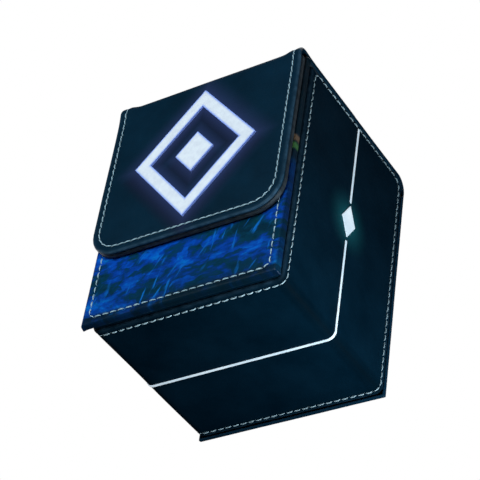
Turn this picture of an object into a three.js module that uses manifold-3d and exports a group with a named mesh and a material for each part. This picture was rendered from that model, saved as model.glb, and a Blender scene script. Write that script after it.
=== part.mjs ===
// A flip-lid card deck box in leatherette over board, closed.
// Millimetres. +Z is up, the front faces -Y, and the origin is at the middle of the footprint.
// The box, the lid and the flap are three nested groups: the lid turns on the leather spine at
// the top of the back, and the flap turns on the fold at the front of the lid.
import * as THREE from "three";
import { mergeVertices } from "three/addons/utils/BufferGeometryUtils.js";
import Module from "manifold-3d";

const wasm = await Module();
wasm.setup();

// ---- Driving dimensions ----
const overallDepth = 86.4; // emblem face to the thread of the back seam
const overallHeight = 107.35; // floor to the thread of the lid's seams
const bodyWidth = 81.6;
const frontPanelWidth = 83.6;
const backPanelWidth = 82.4;
const lidWidth = 82.8;
const flapWidth = 83.8;

const glueGap = 0.1; // between glued layers
const cutGap = 0.3; // between pieces that meet edge to edge
const leather = 0.7;
const wallBoard = 2.4;
const lining = 0.8;

const frontPanelThickness = 3.0;
const welt = 0.8; // leather binding in the groove behind the front panel
const weltSetback = 0.9; // how far the binding lies inside the body's sides
const grooveDepth = 2.5; // front panel to the body wrap, along Y
const backPanelThickness = 1.8;
const bodyBottom = 0.8; // the panels' lower edges carry the box, and the body hangs clear of the floor
const foldRadius = 3.0; // outer radius of the wrap's two lower folds

const lidThickness = 2.2;
const lidBoard = 0.9;
const spineRadius = 7.0; // outer radius of the leather spine
const spineAxisInset = 1.5; // hinge line inside the outer back face
const spineAxisDrop = 1.0; // hinge line below the lid's top
const frontFoldRadius = 4.2;
const frontFoldAxisInset = 1.1;

const flapStandoff = 4.3; // flap face to front panel face
const flapShellDepth = 1.4; // outer leather and its stiffener
const flapLiningInset = 0.2;
const flapBottom = 28.0;
const flapCornerRadius = 12.5;
const flapClearance = 0.5; // flap lining to front panel

const magnetRadius = 5.0;
const magnetThickness = 1.3;
const magnetPocketGap = 0.3;
const magnetSpread = 27.0; // magnet centres from the middle
const magnetHeight = 38.0;

const threadWidth = 0.65;
const threadRaise = 0.25;
const panelStitchInset = 3.3;
const flapStitchInset = 3.2;
const wrapStitchFront = 3.0; // from the wrap's front edge
const wrapStitchBack = 2.15; // from the wrap's back edge
const wrapStitchTop = 0.8; // from the wrap's top edge
const backStitchInset = 3.0;
const lidStitchInset = 2.7;
const seamCornerRadius = 1.0;

const emblemRaise = 0.9;
const emblemHalfWidth = 27.0;
const emblemHalfHeight = 32.0;
const emblemStroke = 5.5;
const emblemHeartHalfWidth = 8.5;
const emblemCentre = 67.0;
const stripeWidth = 1.0;
const stripeRaise = 0.2;
const badgeHalfWidth = 4.6;
const badgeHalfHeight = 7.6;
const badgeRaise = 0.4;
const badgeCentre = 55.5;
const badgeGap = 1.8; // stripe end to badge

// ---- Derived planes ----
const threadStand = glueGap + threadRaise;
const lidTop = overallHeight - threadStand;
const backFace = overallDepth / 2 - threadStand;
const flapFace = -overallDepth / 2 + emblemRaise;
const frontFace = flapFace + flapStandoff;
const frontPanelBack = frontFace + frontPanelThickness;
const wrapFront = frontPanelBack + grooveDepth;
const backPanelFront = backFace - backPanelThickness;
const wrapBack = backPanelFront - 2 * glueGap;
const lidUnderside = lidTop - lidThickness;
const bodyTop = lidUnderside - glueGap;

const sideFace = bodyWidth / 2;
const turnedEdge = leather + glueGap; // room for leather that is turned over a board's edge
const sideBoardOuter = sideFace - turnedEdge;
const sideBoardInner = sideBoardOuter - wallBoard;
const wellHalfWidth = sideBoardInner - glueGap - lining;
const bottomBoardLow = bodyBottom + turnedEdge;
const bottomBoardTop = bottomBoardLow + wallBoard;
const wellFloor = bottomBoardTop + glueGap + lining;
const frontWallFront = frontPanelBack + glueGap;
const frontWallBack = wrapFront - glueGap;
const wellFront = frontWallBack + glueGap + lining;
const backWallFront = wrapBack - turnedEdge - wallBoard;
const wellBack = backWallFront - glueGap - lining;
const backLiningTop = bodyTop - spineRadius / 4; // the back wall stops below the spine's curve

const spineAxis = new THREE.Vector3(0, backFace - spineAxisInset, lidTop - spineAxisDrop);
const spineCentre = new THREE.Vector2(backFace - spineRadius, lidTop - spineRadius);
const lidBack = spineCentre.x - cutGap;
const foldAxis = new THREE.Vector3(0, flapFace + frontFoldAxisInset, lidTop - frontFoldAxisInset);
const foldCentre = new THREE.Vector2(flapFace + frontFoldRadius, lidTop - frontFoldRadius);
const lidFront = foldCentre.x + cutGap;
const flapTop = foldCentre.y;
const flapShellBack = flapFace + flapShellDepth;
const flapInside = frontFace - flapClearance;

// ---- Materials ----
const finish = (color, roughness, metalness = 0) =>
  new THREE.MeshStandardMaterial({ color, roughness, metalness });
const materials = {
  leather: finish(0x0b2132, 0.55),
  print: finish(0x0b4a8c, 0.5),
  board: finish(0x9a8f7c, 0.9),
  lining: finish(0x17212b, 0.95),
  thread: finish(0xc9d6de, 0.7),
  magnet: finish(0xb8bcc0, 0.3, 1.0),
  silver: finish(0xd0d8e0, 0.3, 0.8),
  emblem: finish(0xe6ebf8, 0.35),
};

// ---- Shape helpers ----
function rectangle(x0, x1, y0, y1) {
  const shape = new THREE.Shape();
  shape.moveTo(x0, y0);
  shape.lineTo(x1, y0);
  shape.lineTo(x1, y1);
  shape.lineTo(x0, y1);
  shape.closePath();
  return shape;
}

// A rectangle whose two lower corners are rounded.
function roundFoot(halfWidth, low, high, radius) {
  const shape = new THREE.Shape();
  shape.moveTo(halfWidth, low + radius);
  shape.lineTo(halfWidth, high);
  shape.lineTo(-halfWidth, high);
  shape.lineTo(-halfWidth, low + radius);
  shape.absarc(-halfWidth + radius, low + radius, radius, Math.PI, 1.5 * Math.PI, false);
  shape.lineTo(halfWidth - radius, low);
  shape.absarc(halfWidth - radius, low + radius, radius, 1.5 * Math.PI, 2 * Math.PI, false);
  return shape;
}

// A band of a given width along a U: down one side, round two lower corners and up the other side.
function roundFootBand(halfWidth, low, high, radius, width) {
  const shape = new THREE.Shape();
  const inner = halfWidth - width;
  const innerRadius = radius - width;
  const centreX = halfWidth - radius;
  const centreY = low + radius;
  shape.moveTo(halfWidth, high);
  shape.lineTo(inner, high);
  shape.lineTo(inner, centreY);
  shape.absarc(centreX, centreY, innerRadius, 0, -0.5 * Math.PI, true);
  shape.lineTo(-centreX, low + width);
  shape.absarc(-centreX, centreY, innerRadius, -0.5 * Math.PI, -Math.PI, true);
  shape.lineTo(-inner, high);
  shape.lineTo(-halfWidth, high);
  shape.lineTo(-halfWidth, centreY);
  shape.absarc(-centreX, centreY, radius, Math.PI, 1.5 * Math.PI, false);
  shape.lineTo(centreX, low);
  shape.absarc(centreX, centreY, radius, 1.5 * Math.PI, 2 * Math.PI, false);
  shape.closePath();
  return shape;
}

function rhombus(halfWidth, halfHeight, centreY) {
  const shape = new THREE.Shape();
  shape.moveTo(halfWidth, centreY);
  shape.lineTo(0, centreY + halfHeight);
  shape.lineTo(-halfWidth, centreY);
  shape.lineTo(0, centreY - halfHeight);
  shape.closePath();
  return shape;
}

function discPath(x, y, radius) {
  const path = new THREE.Path();
  path.absarc(x, y, radius, 0, 2 * Math.PI, true);
  return path;
}

// A side view of a wall, in Y and Z, with its upper back corner rounded under the spine.
function wallOutline(front, back, low, high) {
  const radius = spineRadius - 1;
  const shape = new THREE.Shape();
  shape.moveTo(front, low);
  shape.lineTo(back, low);
  shape.lineTo(back, high - radius);
  shape.absarc(back - radius, high - radius, radius, 0, 0.5 * Math.PI, false);
  shape.lineTo(front, high);
  shape.closePath();
  return shape;
}

const extrude = (shape, depth) =>
  new THREE.ExtrudeGeometry(shape, { depth, bevelEnabled: false, curveSegments: 10 });

// Each of these sweeps a shape along one axis, from the lower to the higher place on it.
function sweepX(shape, x0, x1) {
  const turned = new THREE.Matrix4().set(0, 0, 1, x0, 1, 0, 0, 0, 0, 1, 0, 0, 0, 0, 0, 1);
  return extrude(shape, x1 - x0).applyMatrix4(turned);
}

function sweepY(shape, y0, y1) {
  return extrude(shape, y1 - y0).rotateX(0.5 * Math.PI).translate(0, y1, 0);
}

function sweepZ(shape, z0, z1) {
  return extrude(shape, z1 - z0).translate(0, 0, z0);
}

// ---- Boolean helpers ----
function solidOf(geometry) {
  const bare = geometry.clone().deleteAttribute("normal").deleteAttribute("uv");
  const merged = mergeVertices(bare, 1e-4);
  return new wasm.Manifold(
    new wasm.Mesh({
      numProp: 3,
      vertProperties: merged.getAttribute("position").array,
      triVerts: new Uint32Array(merged.index.array),
    }),
  );
}

function geometryOf(solid) {
  const mesh = solid.getMesh();
  const geometry = new THREE.BufferGeometry();
  geometry.setAttribute("position", new THREE.BufferAttribute(mesh.vertProperties, 3));
  geometry.setIndex(new THREE.BufferAttribute(mesh.triVerts, 1));
  geometry.computeVertexNormals();
  return geometry;
}

const common = (a, b) => geometryOf(solidOf(a).intersect(solidOf(b)));
const without = (a, b) => geometryOf(solidOf(a).subtract(solidOf(b)));

// ---- The three bodies ----
const deckBox = new THREE.Group();
const box = new THREE.Group();
const lid = new THREE.Group();
const flap = new THREE.Group();
lid.position.copy(spineAxis);
flap.position.copy(foldAxis).sub(spineAxis);
deckBox.add(box);
box.add(lid);
lid.add(flap);
deckBox.updateMatrixWorld(true);

// Names a mesh and hands it to its body, where it keeps its place in the object's frame.
function piece(body, name, geometry, material) {
  const mesh = new THREE.Mesh(geometry, material);
  mesh.name = name;
  body.attach(mesh);
}

const sides = [
  ["left", -1],
  ["right", 1],
];
const span = (sign, near, far) => (sign > 0 ? [near, far] : [-far, -near]);

// ---- Body: one wrap round the left side, the bottom and the right side ----
function bodyWrap() {
  const band = roundFootBand(sideFace, bodyBottom, bodyTop, foldRadius, leather);
  const tube = sweepY(band, wrapFront, wrapBack);
  const sideView = sweepX(wallOutline(wrapFront, wrapBack, 0, bodyTop), -bodyWidth, bodyWidth);
  piece(box, "body_wrap", common(tube, sideView), materials.leather);
}

function bodyBoards() {
  const front = wrapFront + turnedEdge;
  const back = wrapBack - turnedEdge;
  for (const [side, sign] of sides) {
    const [x0, x1] = span(sign, sideBoardInner, sideBoardOuter);
    const outline = wallOutline(front, back, bottomBoardTop + glueGap, bodyTop - turnedEdge);
    piece(box, `${side}_side_board`, sweepX(outline, x0, x1), materials.board);
  }
  const foot = rectangle(-sideBoardInner, sideBoardInner, bottomBoardLow, bottomBoardTop);
  piece(box, "bottom_board", sweepY(foot, front, back), materials.board);
  const backWallTop = backLiningTop - lining - glueGap;
  const inner = sideBoardInner - glueGap;
  const backWall = rectangle(-inner, inner, bottomBoardTop + glueGap, backWallTop);
  piece(box, "back_wall_board", sweepY(backWall, backWallFront, back), materials.board);
}

function wellLinings() {
  const front = wellFront + glueGap;
  const back = wellBack - glueGap;
  const inner = sideBoardInner - glueGap;
  const low = bottomBoardTop + glueGap;
  for (const [side, sign] of sides) {
    const [x0, x1] = span(sign, wellHalfWidth, inner);
    const outline = wallOutline(front, back, wellFloor + glueGap, bodyTop - glueGap);
    piece(box, `${side}_lining`, sweepX(outline, x0, x1), materials.lining);
  }
  const floor = rectangle(-inner, inner, low, wellFloor);
  piece(box, "bottom_lining", sweepY(floor, front, back), materials.lining);
  const wall = rectangle(-inner, inner, low, bodyTop - glueGap);
  piece(box, "front_lining", sweepY(wall, frontWallBack + glueGap, wellFront), materials.lining);
  const backWall = new THREE.Shape();
  backWall.moveTo(wellBack, low);
  backWall.lineTo(wellBack, backLiningTop);
  backWall.lineTo(wrapBack - turnedEdge, backLiningTop);
  backWall.lineTo(wrapBack - turnedEdge, backLiningTop - lining);
  backWall.lineTo(wellBack + lining, backLiningTop - lining);
  backWall.lineTo(wellBack + lining, low);
  piece(box, "back_lining", sweepX(backWall, -inner, inner), materials.lining);
}

// ---- Front wall: a board bound all round with a leather welt, and the printed panel over it ----
function frontWall() {
  const weltOuter = sideFace - weltSetback;
  const weltLow = bodyBottom + weltSetback;
  const weltHigh = bodyTop - glueGap;
  const boardHalf = weltOuter - welt - glueGap;
  const board = rectangle(-boardHalf, boardHalf, weltLow + welt + glueGap, weltHigh - welt - glueGap);
  piece(box, "front_wall_board", sweepY(board, frontWallFront, frontWallBack), materials.board);
  const binding = rectangle(-weltOuter, weltOuter, weltLow, weltHigh);
  const opening = weltOuter - welt;
  binding.holes.push(rectangle(-opening, opening, weltLow + welt, weltHigh - welt));
  piece(box, "front_welt", sweepY(binding, frontWallFront, frontWallBack), materials.leather);
}

// A leather skin turned over the edges of its board: a tray that is open on the board's side.
function traySkin(outline, pocket, front, back, openFront) {
  const outer = sweepY(outline, front, back);
  const hollow = openFront
    ? sweepY(pocket, front - 1, back - leather)
    : sweepY(pocket, front + leather, back + 1);
  return without(outer, hollow);
}

const frontPanelHalf = frontPanelWidth / 2;
const backPanelHalf = backPanelWidth / 2;
const backPanelTop = spineCentre.y - glueGap;

function inset(halfWidth, low, high, by) {
  return rectangle(-halfWidth + by, halfWidth - by, low + by, high - by);
}

function withMagnetHoles(shape) {
  for (const [, sign] of sides) {
    shape.holes.push(discPath(sign * magnetSpread, magnetHeight, magnetRadius + magnetPocketGap));
  }
  return shape;
}

function magnets(body, prefix, middleY) {
  for (const [side, sign] of sides) {
    const disc = new THREE.CylinderGeometry(magnetRadius, magnetRadius, magnetThickness, 32);
    const mesh = new THREE.Mesh(disc, materials.magnet);
    mesh.name = `${prefix}_magnet_${side}`;
    mesh.position.set(sign * magnetSpread, middleY, magnetHeight);
    body.attach(mesh);
  }
}

function frontPanel() {
  const outline = inset(frontPanelHalf, 0, bodyTop, 0);
  const pocket = inset(frontPanelHalf, 0, bodyTop, leather);
  const skin = traySkin(outline, pocket, frontFace, frontPanelBack, false);
  piece(box, "front_panel_skin", skin, materials.print);
  const boardFront = frontFace + turnedEdge;
  const board = withMagnetHoles(inset(frontPanelHalf, 0, bodyTop, turnedEdge));
  piece(box, "front_panel_board", sweepY(board, boardFront, frontPanelBack), materials.board);
  magnets(box, "front", (boardFront + frontPanelBack) / 2);
}

function backPanel() {
  const outline = inset(backPanelHalf, 0, backPanelTop, 0);
  const pocket = inset(backPanelHalf, 0, backPanelTop, leather);
  const skin = traySkin(outline, pocket, backPanelFront, backFace, true);
  piece(box, "back_panel_skin", skin, materials.leather);
  const board = inset(backPanelHalf, 0, backPanelTop, turnedEdge);
  const boardBack = backFace - leather - glueGap;
  piece(box, "back_panel_board", sweepY(board, backPanelFront, boardBack), materials.board);
}

// ---- Leather folds: a quarter ring, swept along X ----
function quarterRing(centre, outer, start) {
  const shape = new THREE.Shape();
  const inner = outer - leather;
  const end = start + 0.5 * Math.PI;
  shape.absarc(centre.x, centre.y, outer, start, end, false);
  shape.absarc(centre.x, centre.y, inner, end, start, true);
  shape.closePath();
  return shape;
}

function leatherFolds() {
  const spine = sweepX(quarterRing(spineCentre, spineRadius, 0), -backPanelHalf, backPanelHalf);
  piece(box, "spine_hinge", spine, materials.leather);
  const foldShape = quarterRing(foldCentre, frontFoldRadius, 0.5 * Math.PI);
  const ring = sweepX(foldShape, -lidWidth / 2, lidWidth / 2);
  const lowEnd = rectangle(foldAxis.y - 10, foldAxis.y + 10, flapTop - 1, flapTop + cutGap);
  const fold = without(ring, sweepX(lowEnd, -lidWidth, lidWidth));
  piece(lid, "fold_hinge", fold, materials.leather);
}

// ---- Lid: a skin tray that is open below, its board and its lining ----
function lidPanel() {
  const half = lidWidth / 2;
  const plan = (by) => rectangle(-half + by, half - by, lidFront + by, lidBack - by);
  const roof = lidTop - leather;
  const skin = without(
    sweepZ(plan(0), lidUnderside, lidTop),
    sweepZ(plan(leather), lidUnderside - 1, roof),
  );
  piece(lid, "lid_skin", skin, materials.leather);
  const boardTop = roof - glueGap;
  const boardLow = boardTop - lidBoard;
  piece(lid, "lid_board", sweepZ(plan(turnedEdge), boardLow, boardTop), materials.board);
  const liningPlan = plan(turnedEdge);
  piece(lid, "lid_lining", sweepZ(liningPlan, lidUnderside, boardLow - glueGap), materials.lining);
}

// ---- Flap: a leather layer on a stiffener, and behind it a lined board with two magnets ----
function flapPanel() {
  const half = flapWidth / 2;
  const outline = (by) => roundFoot(half - by, flapBottom + by, flapTop - by, flapCornerRadius - by);
  const skin = traySkin(outline(0), outline(leather), flapFace, flapShellBack, false);
  piece(flap, "flap_skin", skin, materials.leather);
  const stiffener = sweepY(outline(turnedEdge), flapFace + turnedEdge, flapShellBack);
  piece(flap, "flap_stiffener_board", stiffener, materials.board);

  const layerFront = flapShellBack + glueGap;
  const liningPocket = outline(flapLiningInset + leather);
  const lined = traySkin(outline(flapLiningInset), liningPocket, layerFront, flapInside, true);
  piece(flap, "flap_lining", lined, materials.lining);
  const boardBack = flapInside - turnedEdge;
  const board = withMagnetHoles(outline(flapLiningInset + turnedEdge));
  piece(flap, "flap_board", sweepY(board, layerFront, boardBack), materials.board);
  magnets(flap, "flap", (layerFront + boardBack) / 2);
}

// ---- Trim on the wrap's outer face ----
// A thin U that lies on the wrap: round the left side, the bottom and the right side.
function wrapLayer(raise) {
  const stand = glueGap + raise;
  return roundFootBand(sideFace + stand, bodyBottom - stand, bodyTop, foldRadius + stand, raise);
}

const wrapMiddle = (wrapFront + wrapBack) / 2;

function silverStripe() {
  const [y0, y1] = [wrapMiddle - stripeWidth / 2, wrapMiddle + stripeWidth / 2];
  const whole = sweepY(wrapLayer(stripeRaise), y0, y1);
  const reach = badgeHalfHeight + badgeGap;
  const under = sweepY(rectangle(-bodyWidth, bodyWidth, -1, badgeCentre - reach), y0 - 1, y1 + 1);
  piece(box, "stripe_lower", common(whole, under), materials.silver);
  for (const [side, sign] of sides) {
    const [x0, x1] = span(sign, sideFace + glueGap, sideFace + glueGap + stripeRaise);
    const strip = rectangle(x0, x1, badgeCentre + reach, bodyTop - 2 * wrapStitchTop);
    piece(box, `${side}_stripe_upper`, sweepY(strip, y0, y1), materials.silver);
  }
}

function sideBadges() {
  for (const [side, sign] of sides) {
    const outline = new THREE.Shape([
      new THREE.Vector2(wrapMiddle + badgeHalfWidth, badgeCentre),
      new THREE.Vector2(wrapMiddle, badgeCentre + badgeHalfHeight),
      new THREE.Vector2(wrapMiddle - badgeHalfWidth, badgeCentre),
      new THREE.Vector2(wrapMiddle, badgeCentre - badgeHalfHeight),
    ]);
    const [x0, x1] = span(sign, sideFace + glueGap, sideFace + glueGap + badgeRaise);
    piece(box, `${side}_badge`, sweepX(outline, x0, x1), materials.silver);
  }
}

// A plain rhombus frame with a smaller rhombus inside it, raised on the flap.
function flapEmblem() {
  const front = -overallDepth / 2;
  const back = flapFace - glueGap;
  const slope = Math.hypot(emblemHalfWidth, emblemHalfHeight) / (emblemHalfWidth * emblemHalfHeight);
  const shrink = 1 - emblemStroke * slope;
  const frame = rhombus(emblemHalfWidth, emblemHalfHeight, emblemCentre);
  frame.holes.push(rhombus(emblemHalfWidth * shrink, emblemHalfHeight * shrink, emblemCentre));
  piece(flap, "emblem_frame", sweepY(frame, front, back), materials.emblem);
  const heartHalfHeight = (emblemHeartHalfWidth * emblemHalfHeight) / emblemHalfWidth;
  const heart = rhombus(emblemHeartHalfWidth, heartHalfHeight, emblemCentre);
  piece(flap, "emblem_centre", sweepY(heart, front, back), materials.emblem);
}

// ---- Seams: each is one raised run of thread ----
function wrapStitching() {
  const front = wrapFront + wrapStitchFront;
  const back = wrapBack - wrapStitchBack;
  const top = bodyTop - wrapStitchTop;
  const half = threadWidth / 2;
  const radius = spineRadius - wrapStitchBack - 1;
  const middle = new THREE.Vector2(back - radius, top - radius);
  const run = new THREE.Shape();
  run.moveTo(front - half, -1);
  run.lineTo(front + half, -1);
  run.lineTo(front + half, top - half);
  run.lineTo(middle.x, top - half);
  run.absarc(middle.x, middle.y, radius - half, 0.5 * Math.PI, 0, true);
  run.lineTo(back - half, -1);
  run.lineTo(back + half, -1);
  run.lineTo(back + half, middle.y);
  run.absarc(middle.x, middle.y, radius + half, 0, 0.5 * Math.PI, false);
  run.lineTo(front - half, top + half);
  run.closePath();
  const layer = wrapLayer(threadRaise);
  const thread = common(sweepX(run, -bodyWidth, bodyWidth), sweepY(layer, wrapFront, wrapBack));
  piece(box, "body_stitching", thread, materials.thread);
}

// A U of thread on a panel's face, whose lower corners may be rounded.
function stitchedU(halfWidth, low, high, radius) {
  const half = threadWidth / 2;
  return roundFootBand(halfWidth + half, low - half, high, radius + half, threadWidth);
}

function panelStitching() {
  const frontHalf = frontPanelHalf - panelStitchInset;
  const front = stitchedU(frontHalf, panelStitchInset, bodyTop - 1, seamCornerRadius);
  const frontThread = sweepY(front, frontFace - threadStand, frontFace - glueGap);
  piece(box, "front_panel_stitching", frontThread, materials.thread);
  const backHalf = backPanelHalf - backStitchInset;
  const back = stitchedU(backHalf, backStitchInset, backPanelTop, seamCornerRadius);
  const backThread = sweepY(back, backFace + glueGap, backFace + threadStand);
  piece(box, "back_panel_stitching", backThread, materials.thread);
}

function coverStitching() {
  const flapHalf = flapWidth / 2 - flapStitchInset;
  const low = flapBottom + flapStitchInset;
  const seam = stitchedU(flapHalf, low, flapTop, flapCornerRadius - flapStitchInset);
  const flapThread = sweepY(seam, flapFace - threadStand, flapFace - glueGap);
  piece(flap, "flap_stitching", flapThread, materials.thread);
  for (const [side, sign] of sides) {
    const middle = sign * (lidWidth / 2 - lidStitchInset);
    const run = rectangle(middle - threadWidth / 2, middle + threadWidth / 2, lidFront, lidBack);
    const lidThread = sweepZ(run, lidTop + glueGap, lidTop + threadStand);
    piece(lid, `lid_stitching_${side}`, lidThread, materials.thread);
  }
}

deckBox.name = "card_deck_box";
bodyWrap();
bodyBoards();
wellLinings();
frontWall();
frontPanel();
backPanel();
leatherFolds();
lidPanel();
flapPanel();
silverStripe();
sideBadges();
flapEmblem();
wrapStitching();
panelStitching();
coverStitching();

export default deckBox;
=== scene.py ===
"""Looks for the card deck box: leather, printed leather, thread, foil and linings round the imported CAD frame.

Lengths are millimetres until a mesh is made, and then metres. A leather sheet is laid out flat, with a
place across it and a place along it, and lift() folds it round the box.
"""
import math

import bmesh
import bpy
import numpy as np
from mathutils import Matrix, Vector


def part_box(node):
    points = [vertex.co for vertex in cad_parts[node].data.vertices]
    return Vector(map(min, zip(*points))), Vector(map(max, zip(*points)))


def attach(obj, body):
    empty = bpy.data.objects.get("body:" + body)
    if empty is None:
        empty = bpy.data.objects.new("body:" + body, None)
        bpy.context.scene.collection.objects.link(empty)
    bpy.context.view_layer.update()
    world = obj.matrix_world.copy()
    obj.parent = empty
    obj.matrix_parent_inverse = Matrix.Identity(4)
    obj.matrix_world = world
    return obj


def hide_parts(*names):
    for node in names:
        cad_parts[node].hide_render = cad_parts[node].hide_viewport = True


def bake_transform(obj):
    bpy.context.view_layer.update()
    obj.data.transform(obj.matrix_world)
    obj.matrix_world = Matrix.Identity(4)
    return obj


MM = 0.001
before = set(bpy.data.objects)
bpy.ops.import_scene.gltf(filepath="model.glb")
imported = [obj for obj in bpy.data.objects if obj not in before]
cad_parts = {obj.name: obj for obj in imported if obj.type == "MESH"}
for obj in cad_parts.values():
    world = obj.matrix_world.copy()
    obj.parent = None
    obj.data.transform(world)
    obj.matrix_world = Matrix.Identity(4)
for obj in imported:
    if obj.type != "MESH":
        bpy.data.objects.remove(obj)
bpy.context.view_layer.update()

# ---- Camera, in metres and degrees ----
VIEW_AIM = Vector((-2.5, -3.4, 55.1)) * MM
VIEW_AZIMUTH = 37.78
VIEW_ELEVATION = -39.41
VIEW_ROLL = 9.35
VIEW_DISTANCE = 0.6818
VIEW_LENS = 133.1
SENSOR_WIDTH = 36.0

# ---- Leather, in millimetres ----
LEATHER = 0.7
EDGE_ROUND = 1.1
BACK_ROUND = 0.45
LINING = 0.8
LINING_ROUND = 0.35
LINING_SPACING = 2.5  # spacing of mesh points on a lining
LINING_SLACK = 0.06  # how unevenly a lining's face lies
WELT = 0.8  # thickness of the binding in the front groove
WELT_CORNER = 1.2
PARED = 0.25  # thickness of a turned edge where it is pared to lie flat
STEP = 0.6  # spacing of mesh points along a sheet's edges
FINE_INSET = 0.45  # spacing of the rings near an edge
COARSE_INSET = 3.2  # widest spacing of the rings in the middle of a sheet
SEAM_VALLEY = 0.16
SEAM_WIDTH = 0.75
HOLE_DIMPLE = 0.2
HOLE_WIDTH = 0.45
SHARP_CORNER = 0.5

# ---- Thread, in millimetres ----
PITCH = 3.45  # from stitch to stitch on the body
COVER_PITCH = 3.0  # and on the flap, the lid and the back
THREAD_RADIUS = 0.26
STITCH_GAP = 0.6
STITCH_SINK = 0.3
STITCH_RISE = 0.1
STITCH_LEAN = 0.14  # how far the flap's stitches lie off their line at each end
PLY_RIPPLE = 0.09  # how far the two plies stand out, as a share of the radius

# ---- Lights: azimuth and elevation in degrees, distance and size in metres, power in watts, colour ----
WHITE = (1.0, 1.0, 1.0)
LIGHTS = {
    "key": (3, -4, 0.7, 0.4, 4.3, (0.68, 0.93, 1.0)),
    "corner": (90, -44, 0.2, 0.12, 0.42, (0.72, 0.93, 1.0)),
    "back_fill": (200, 25, 0.9, 0.6, 4.5, WHITE),
    "left_fill": (-95, 10, 0.9, 0.6, 3.5, WHITE),
    "top_fill": (180, 80, 0.9, 0.6, 4.5, WHITE),
}
WORLD_LIGHT = (0.8, 0.9, 1.0)
WORLD_STRENGTH = 0.025

# ---- Meshes and textures ----
WELD = 2e-6  # metres between points that become one
HALVES_WELD = 2e-5  # the same, where two halves of a sheet meet
GRAIN = 2100  # scale of the leather's pebbles, per metre
FLOOR_LEVEL = -0.75  # metres: below the camera, which looks up at the box


def box_mm(node):
    """Lowest and highest corner of a CAD node, in millimetres."""
    low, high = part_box(node)
    return low / MM, high / MM


flap_low, flap_high = box_mm("flap_skin")
lid_low, lid_high = box_mm("lid_skin")
back_low, back_high = box_mm("back_panel_skin")
front_low, front_high = box_mm("front_panel_skin")
wrap_low, wrap_high = box_mm("body_wrap")
spine_low, spine_high = box_mm("spine_hinge")

SPINE_RADIUS = spine_high.z - spine_low.z
FOLD_RADIUS = lid_high.z - flap_high.z
WRAP_FOLD_RADIUS = 3.0
FLAP_CORNER = 12.5
FLAP_SEAM_INSET = 3.2
LID_SEAM_INSET = 2.7
BACK_SEAM_INSET = 3.0
FRONT_SEAM_INSET = 3.3
FRONT_SEAM_FOOT = 2.7
WRAP_SEAM_FRONT = 3.0
WRAP_SEAM_BACK = 2.45
WRAP_SEAM_TOP = 0.8
WALL_DEPTH = 3.2  # leather and board together, at the wrap's turned edges
FOLD_BUNCH = 0.7
EMBLEM_STROKE = 5.5
FOLD_RIM = 0.75  # share of the rim's depth that is left in the front fold
SPINE_RIM = 0.15  # and in the spine, which lies close round the walls
BACK_MARGIN = 4.0  # leather turned over the back panel's board


# ---- shapes ----

class Route:
    """A side view made of straight and round stretches, measured along its length."""

    def __init__(self, start, heading, legs, outward):
        """legs are (length, radius): radius 0 is straight, above 0 turns left and below 0 right.
        outward is 1 where the sheet's outer face lies on the left of the route, and -1 on the right."""
        self.outward = outward
        self.legs = []
        place = np.array(start, float)
        along = 0.0
        for length, radius in legs:
            self.legs.append((along, place, heading, radius))
            place, heading = self._move(place, heading, radius, length)
            along += length
        self.length = along

    @staticmethod
    def _move(place, heading, radius, length):
        if radius == 0:
            return place + length * np.array((math.cos(heading), math.sin(heading))), heading
        turned = heading + length / radius
        shift = (math.sin(turned) - math.sin(heading), math.cos(heading) - math.cos(turned))
        return place + radius * np.array(shift), turned

    def at(self, along):
        """The point there, and the outward normal."""
        leg = next((x for x in reversed(self.legs) if x[0] <= along), self.legs[0])
        begin, place, heading, radius = leg
        point, heading = self._move(place, heading, radius, along - begin)
        normal = self.outward * np.array((-math.sin(heading), math.cos(heading)))
        return point, normal


def smooth(value, low, high):
    """An S-curve, from 0 at low to 1 at high."""
    t = min(1.0, max(0.0, (value - low) / (high - low)))
    return t * t * (3 - 2 * t)


def quarter(steps):
    """Angles from 0 to a right angle, in equal steps."""
    return [0.5 * math.pi * i / steps for i in range(steps + 1)]


class Sheet:
    """A leather sheet: flat places (across, along) lifted onto a route that is swept sideways."""

    def __init__(self, route, half_width, depth, swept="x", middle=0.0, mirror=1.0):
        self.route = route
        self.half_width = half_width
        self.depth = depth
        self.edge_round = min(EDGE_ROUND, 0.6 * depth)
        self.margin = LEATHER + 0.05
        self.margin_end = math.inf  # place along where a wide margin stops
        self.swept = swept
        self.middle = middle
        self.mirror = mirror
        self.widening = lambda along: 0.0
        self.rim = lambda along: 1.0  # share of the rim's depth that is there at a place along
        self.swell = lambda across, along: 0.0  # how far the sheet stands out there
        self.turned_over = 0.0  # where the sheet is the far half of a longer one, that one's length

    def lift(self, across, along, height=0.0):
        point, normal = self.route.at(along)
        across = across * (1 + self.widening(along) / self.half_width) + self.middle
        if height < -LEATHER:
            height = -LEATHER + (height + LEATHER) * self.rim(along)
        a, b = point + normal * (height + self.swell(across, along))
        if self.swept == "x":
            return Vector((across, a, b)) * MM
        return Vector((a * self.mirror, across, b)) * MM

    def print_place(self, across, along):
        """Where a flat place lies in the leather's texture, in metres."""
        return Vector((across, abs(self.turned_over - along), 0)) * MM


def u_line(half_left, half_right, low, corners, rows, counts):
    """A U in flat places: down the left side, round two corners along the free end, and up the right
    side. rows are the fixed places along both sides. counts are the points below them, in a corner and
    in the base."""
    below, arc, base = counts
    left_corner, right_corner = corners
    line = []
    for sign, half, corner in ((-1, half_left, left_corner), (1, half_right, right_corner)):
        side = [(sign * half, r) for r in rows]
        last = rows[-1]
        top = low + corner
        side += [(sign * half, last + (top - last) * i / below) for i in range(1, below)]
        for angle in quarter(arc):
            x = half - corner + corner * math.cos(angle)
            side.append((sign * x, top - corner * math.sin(angle)))
        line.append(side)
    left, right = line
    x0, x1 = left[-1][0], right[-1][0]
    middle = [(x0 + (x1 - x0) * i / base, low) for i in range(1, base)]
    return left + middle + right[::-1]


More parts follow.
